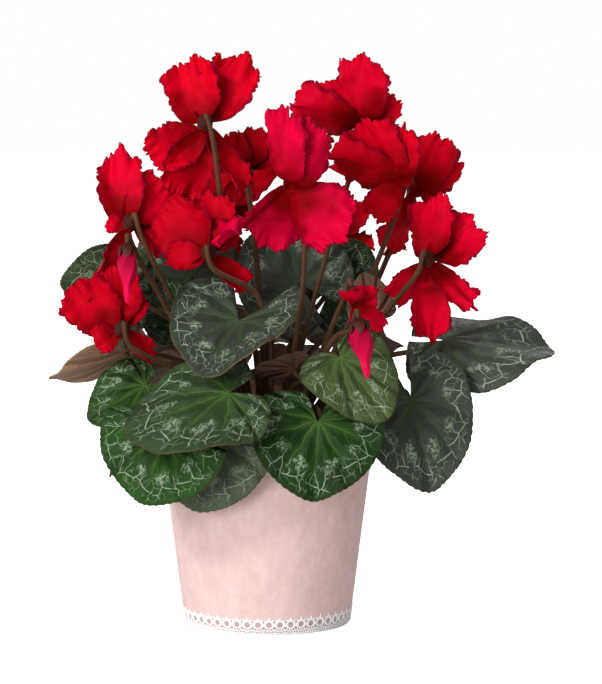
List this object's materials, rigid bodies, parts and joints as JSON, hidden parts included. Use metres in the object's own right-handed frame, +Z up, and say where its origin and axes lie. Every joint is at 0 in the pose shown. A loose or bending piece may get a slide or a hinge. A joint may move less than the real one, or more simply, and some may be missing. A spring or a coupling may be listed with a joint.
{
  "type": "potted cyclamen",
  "caption": "Flowering cyclamen plant with frilled red blooms, nodding buds and marbled heart-shaped leaves, rooted in soil in a tapered ceramic pot.",
  "frame": {"origin": "centre of the pot's flat underside, on the surface that the pot stands on", "axes": "+Z up along the pot's axis, +X to the right and -Y towards the viewer, as the picture shows the plant"},
  "size_m": [0.3027, 0.2086, 0.3422],
  "materials": {
    "pot": "matt pale pink with faint cloudy mottling, white lace edging round the foot",
    "soil": "dark moist potting soil, coarse and crumbly",
    "stalks": "satin red-brown to olive living stalk",
    "leaves": "satin dark green leaf with silver marbling and pale veins",
    "petals": "soft velvety scarlet petal with fringed edges",
    "buds": "soft pink closed bud"
  },
  "bodies": {
    "root": {"pot": "pot", "soil": "soil", "corm_and_stalks": "stalks", "leaf_01": "leaves", "leaf_02": "leaves", "leaf_03": "leaves", "leaf_04": "leaves", "leaf_05": "leaves", "leaf_06": "leaves", "leaf_07": "leaves", "leaf_08": "leaves", "leaf_09": "leaves", "leaf_10": "leaves", "leaf_11": "leaves", "leaf_12": "leaves", "leaf_13": "leaves", "leaf_14": "leaves", "leaf_15": "leaves", "leaf_16": "leaves", "leaf_17": "leaves", "leaf_18": "leaves", "leaf_19": "leaves", "leaf_20": "leaves", "leaf_21": "leaves", "leaf_22": "leaves", "leaf_23": "leaves", "leaf_24": "leaves", "leaf_25": "leaves", "leaf_26": "leaves", "leaf_27": "leaves", "bloom_01": "petals", "bloom_02": "petals", "bloom_03": "petals", "bloom_04": "petals", "bloom_05": "petals", "bloom_06": "petals", "bloom_07": "petals", "bloom_08": "petals", "bloom_09": "petals", "bloom_10": "petals", "bloom_11": "petals", "bloom_12": "petals", "bloom_13": "petals", "bud_01": "buds", "bud_02": "buds", "bud_03": "buds"}
  },
  "joints": []
}
